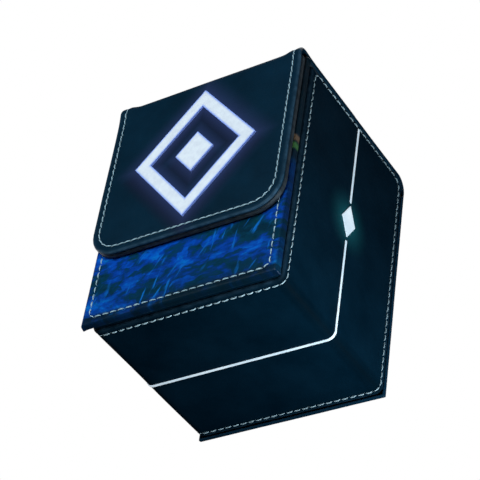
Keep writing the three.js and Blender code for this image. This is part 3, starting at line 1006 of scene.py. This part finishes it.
@once
def print_material():
    """Abstract blue brush strokes printed on leather: broad patches of royal blue over dark teal, duller
    towards the foot, crossed by a few lighter strokes, with darker, greener art towards the top and dark
    turned edges."""
    n = Nodes("printed_leather")
    at = n.flat()
    across, along, _ = n.parts(at)
    bristles, patches, strokes = brush_strokes(n, at)
    color = n.ramp(strokes, [
        (0.38, srgb(0, 40, 58)), (0.44, srgb(0, 60, 84)), (0.475, srgb(0, 52, 112)),
        (0.51, srgb(0, 62, 164)), (0.56, srgb(0, 84, 192)), (0.61, srgb(0, 112, 204)),
        (0.68, srgb(24, 150, 208)),
    ])
    moss = n.noise(at, 240, 4, 0.7)
    color = n.mix(n.spread(moss, 0.54, 0.64, 0, 0.45), color, srgb(0, 56, 54))
    dusk = n.spread(along, 0.004, 0.026, 0.75, 0.1)
    dusk = n.times(dusk, n.spread(patches, 0.42, 0.62, 1, 0.2))
    color = n.mix(dusk, color, srgb(0, 40, 62))
    color = n.mix(crossing_strokes(n, at), color, srgb(14, 112, 200))
    wandering = n.plus(along, n.spread(n.noise(at, 45, 3), 0.3, 0.7, -0.009, 0.009))
    color = n.mix(n.spread(wandering, 0.046, 0.052, 0, 1), color, upper_art(n, strokes, across, along))
    n.into("Base Color", n.mix(dark_edges(n, at, across, along), color, srgb(2, 24, 36)))
    n.rough(n.noise(at, 700, 3), 0.34, 0.46)
    n.into("Specular IOR Level", 0.18)
    n.bump(n.plus(n.cells(at, GRAIN), n.times(bristles, 0.5)), 0.0001, 0.35)
    return n


def brush_strokes(n, at):
    """Fine bristle marks, broad patches, and the strokes that they make together with ragged dabs."""
    bristles = n.noise(n.scaled(at, (130, 560, 1), 0.08), 1.0, 4, 0.6, 0.2)
    patches = n.noise(n.scaled(at, (34, 74, 1), 0.12), 1.0, 6, 0.68, 0.4)
    ragged = n.noise(at, 260, 4, output="Color")
    frayed = n.moved(at, n.scaled(ragged, (0.0045, 0.0045, 0.0045)))
    dabs = n.dabs(n.scaled(frayed, (120, 330, 1), 0.16), 1.0)
    strokes = n.plus(n.plus(n.times(bristles, 0.16), n.times(patches, 0.74)), n.times(dabs, 0.1))
    return bristles, patches, strokes


def dark_edges(n, at, across, along):
    """How dark the print is on its turned edges: at the foot, more in some places, and down the sides."""
    bare = n.spread(n.noise(at, 110, 3), 0.5, 0.58, 0.95, 0.6)
    foot = n.times(n.spread(along, 0.0028, 0.0044, 1, 0), bare)
    rounding = n.spread(along, 0.0004, 0.0012, 0.9, 0)
    to_edge = n.minus(front_high.x * MM, n.size(across))
    side = n.spread(to_edge, 0.0003, 0.0013, 0.85, 0.0)
    return n.maths("MAXIMUM", n.maths("MAXIMUM", foot, rounding), side)


def crossing_strokes(n, at):
    """How much of a light stroke covers a place: narrow strokes that lean two ways, in a few places only."""
    shares = []
    for lean, seed in ((1.0, 0.3), (1.35, 0.8)):
        elsewhere = n.moved(at, (seed, seed, 0))
        fibre = n.noise(n.scaled(elsewhere, (46, 420, 1), lean), 1.0, 3, 0.6, 0.15)
        where = n.spread(n.noise(elsewhere, 60, 2), 0.5, 0.6, 0, 1)
        shares.append(n.times(n.spread(fibre, 0.58, 0.64, 0, 0.85), where))
    return n.maths("MAXIMUM", *shares)


def upper_art(n, strokes, across, along):
    """The darker print beside and behind the flap, with a small orange and a small green spot at its
    right edge."""
    color = n.ramp(strokes, [
        (0.4, srgb(6, 10, 22)), (0.48, srgb(0, 52, 62)), (0.53, srgb(28, 30, 58)),
        (0.58, srgb(0, 76, 84)), (0.7, srgb(10, 130, 140)),
    ])
    at_edge = n.spread(across, 0.0374, 0.0386, 0, 1)
    for height, tint in ((0.0628, srgb(255, 190, 140)), (0.059, srgb(160, 240, 120))):
        near = n.spread(n.gap(along, height), 0.0008, 0.002, 0.9, 0)
        color = n.mix(n.times(near, at_edge), color, tint)
    return color


def waxed_thread(name, sheen, *shades):
    """Waxed two-ply thread. Returns its nodes, and a colour for each pair of shades: the dark between its
    fibres and the light on them."""
    n = Nodes(name)
    fibres = n.noise(n.scaled(n.flat(), (700, 5200, 1), 0.5), 1.0, 3, 0.6)
    n.rough(fibres, 0.5, 0.7)
    n.into("Sheen Weight", sheen)
    n.bump(fibres, 0.00008, 0.5)
    return n, [n.ramp(fibres, [(0.3, dark), (0.65, light)]) for dark, light in shades]


@once
def thread_material():
    n, (color,) = waxed_thread("waxed_thread", 0.2, (srgb(118, 140, 156), srgb(200, 215, 224)))
    n.into("Base Color", color)
    return n


@once
def wrap_thread_material():
    """The same thread, with painted shade: greyer along the sides and towards the back."""
    shades = ((srgb(140, 162, 178), srgb(222, 234, 240)), (srgb(44, 56, 64), srgb(84, 98, 106)))
    n, (lit_thread_color, shaded_thread_color) = waxed_thread("thread_with_painted_shade", 0.1, *shades)
    across, depth, _ = n.parts(n.solid())
    # painted shade: the thread is lightest at the front and painted greyer along the sides and towards the back
    on_side = n.spread(n.size(across), 0.039, 0.0405, 1.0, 0.6)
    lit_share = n.times(n.spread(depth, -0.025, 0.03, 1.0, 0.45), on_side)
    n.into("Base Color", n.mix(lit_share, shaded_thread_color, lit_thread_color))
    return n


@once
def foil_material():
    """Pale silver foil: softly glossy, lightly mottled, and bright with a painted glow in its own colour."""
    n = Nodes("silver_foil")
    at = n.solid()
    mottle = n.noise(at, 900, 3)
    color = n.ramp(n.noise(at, 120, 3), [(0.3, srgb(205, 220, 234)), (0.7, srgb(236, 242, 250))])
    n.into("Base Color", color)
    n.into("Metallic", 0.25)
    n.rough(mottle, 0.3, 0.45)
    # painted glow: the foil gives off light though it is no lamp
    n.into("Emission Color", color)
    n.into("Emission Strength", 0.45)
    n.bump(mottle, 0.00003, 0.4)
    return n


@once
def emblem_material():
    """Raised white print, pale blue along its outlines and down its sides, with a painted glow in its own
    colours.
    """
    n = Nodes("raised_emblem")
    at = n.solid()
    across, depth, height = n.parts(at)
    inside = emblem_distance(n, across, n.minus(height, emblem_centre() * MM))
    edge = n.spread(inside, -1.3, -0.1, 0, 1)
    edge = n.times(edge, edge)
    behind = n.spread(n.minus(depth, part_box("emblem_frame")[0].y), 0.0001, 0.0004, 0, 1)
    mottle = n.noise(at, 500, 3)
    white = n.ramp(mottle, [(0.3, srgb(220, 214, 222)), (0.7, srgb(232, 226, 232))])
    color = n.mix(n.maths("MAXIMUM", edge, behind), white, srgb(128, 150, 226))
    n.into("Base Color", color)
    n.rough(mottle, 0.4, 0.5)
    n.into("Specular IOR Level", 0.2)
    # painted glow: the emblem gives off light though it is no lamp
    n.into("Emission Color", color)
    n.into("Emission Strength", 0.26)
    n.bump(mottle, 0.00004, 0.3)
    return n


@once
def board_material():
    """Greyboard faced with blue-black paper, with loose fibres."""
    n = Nodes("faced_greyboard")
    at = n.solid()
    fibres = n.noise(n.scaled(at, (260, 900, 900)), 1.0, 5, 0.7)
    n.into("Base Color", n.ramp(fibres, [(0.3, srgb(14, 20, 27)), (0.7, srgb(30, 37, 45))]))
    n.rough(fibres, 0.85, 0.95)
    n.bump(fibres, 0.0001, 0.5)
    return n


@once
def microfibre_material():
    """Short-napped microfibre cloth in blue-black."""
    n = Nodes("microfibre")
    at = n.solid()
    nap = n.noise(at, 2600, 4, 0.7)
    brushed = n.noise(at, 60, 3, 0.6)
    color = n.mix(n.spread(brushed, 0.35, 0.65, 0, 1), srgb(14, 20, 28), srgb(26, 34, 44))
    n.into("Base Color", n.mix(n.spread(nap, 0.4, 0.8, 0, 0.4), color, srgb(46, 56, 68)))
    n.rough(nap, 0.85, 1.0)
    n.into("Sheen Weight", 0.4)
    n.into("Sheen Roughness", 0.4)
    n.bump(nap, 0.0002, 0.6)
    return n


@once
def magnet_material():
    """Nickel-plated disc, faintly brushed."""
    n = Nodes("nickel_plate")
    at = n.solid()
    brushed = n.noise(n.scaled(at, (300, 300, 2600)), 1.0, 3)
    n.into("Base Color", n.ramp(brushed, [(0.3, srgb(168, 172, 176)), (0.7, srgb(196, 200, 204))]))
    n.into("Metallic", 1.0)
    n.rough(brushed, 0.22, 0.36)
    n.bump(brushed, 0.00002, 0.3)
    return n


@once
def floor_material():
    n = Nodes("pale_floor")
    grain = n.noise(n.solid(), 8, 3)
    color = n.ramp(grain, [(0.3, (0.86, 0.87, 0.88)), (0.7, (0.9, 0.9, 0.9))])
    n.into("Base Color", color)
    n.rough(grain, 0.8, 0.9)
    n.into("Emission Color", color)
    n.into("Emission Strength", 0.62)
    return n


# ---- carried-over CAD nodes ----

def dress_node(node, material, bevel=0.0):
    """Gives a CAD node its material, and softens its edges where a bevel in millimetres is given."""
    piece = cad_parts[node]
    piece.data.materials.clear()
    piece.data.materials.append(material)
    if bevel:
        rounding = piece.modifiers.new("soft_edges", "BEVEL")
        rounding.width = bevel * MM
        rounding.segments = 3
        rounding.limit_method = "ANGLE"
        rounding.angle_limit = math.radians(35)


def carried_over_nodes():
    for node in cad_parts:
        if node.endswith("_board"):
            dress_node(node, board_material())
        elif "magnet" in node:
            dress_node(node, magnet_material(), 0.15)
        elif "stripe" in node:
            dress_node(node, foil_material())
        elif node.endswith("_badge"):
            dress_node(node, foil_material(), 0.12)
        elif node.startswith("emblem"):
            dress_node(node, emblem_material(), 0.3)


# ---- stage ----

def direction(azimuth, elevation):
    """Unit vector towards a viewer or a light: azimuth 0 is in front of the box, and 90 on its right."""
    a, e = math.radians(azimuth), math.radians(elevation)
    return Vector((math.sin(a) * math.cos(e), -math.cos(a) * math.cos(e), math.sin(e)))


def make_camera():
    data = bpy.data.cameras.new("camera")
    data.lens = VIEW_LENS
    data.sensor_width = SENSOR_WIDTH
    data.clip_start = 0.01
    camera = bpy.data.objects.new("camera", data)
    bpy.context.scene.collection.objects.link(camera)
    back = direction(VIEW_AZIMUTH, VIEW_ELEVATION)
    level = (-back).to_track_quat("-Z", "Y").to_matrix()
    turned = level @ Matrix.Rotation(math.radians(VIEW_ROLL), 3, "Z")
    camera.matrix_world = Matrix.Translation(VIEW_AIM + back * VIEW_DISTANCE) @ turned.to_4x4()
    bpy.context.scene.camera = camera


def area_light(name, azimuth, elevation, distance, size, power, color):
    data = bpy.data.lights.new(name, "AREA")
    data.shape = "DISK"
    data.size = size
    data.energy = power
    data.color = color
    light = bpy.data.objects.new(name, data)
    bpy.context.scene.collection.objects.link(light)
    back = direction(azimuth, elevation)
    light.visible_camera = False
    light.location = VIEW_AIM + back * distance
    light.rotation_mode = "QUATERNION"
    light.rotation_quaternion = back.to_track_quat("Z", "Y")


def make_lights():
    for name, values in LIGHTS.items():
        area_light(name, *values)


def make_world():
    """White behind the object, and a dim even light from all round."""
    world = bpy.data.worlds.new("studio")
    bpy.context.scene.world = world
    world.use_nodes = True
    tree = world.node_tree
    tree.nodes.clear()
    path = tree.nodes.new("ShaderNodeLightPath")
    mix = tree.nodes.new("ShaderNodeMixShader")
    out = tree.nodes.new("ShaderNodeOutputWorld")
    tree.links.new(path.outputs["Is Camera Ray"], mix.inputs["Fac"])
    for i, (color, strength) in enumerate(((WORLD_LIGHT, WORLD_STRENGTH), (WHITE, 1.0))):
        background = tree.nodes.new("ShaderNodeBackground")
        background.inputs["Color"].default_value = (*color, 1)
        background.inputs["Strength"].default_value = strength
        tree.links.new(background.outputs[0], mix.inputs[1 + i])
    tree.links.new(mix.outputs[0], out.inputs["Surface"])


def make_floor():
    bm = bmesh.new()
    bmesh.ops.create_grid(bm, x_segments=4, y_segments=4, size=4.0)
    floor = finish_mesh("floor", bm, smooth_faces=False)
    floor.location.z = FLOOR_LEVEL
    floor.visible_diffuse = False
    floor.visible_glossy = False
    floor.data.materials.append(floor_material())


make_camera()
make_world()
make_lights()
make_floor()
bpy.context.scene.view_settings.view_transform = "Standard"

carried_over_nodes()
body_wrap()
front_welt()
front_panel()
back_cover()
front_cover()
flap_lining()
linings()
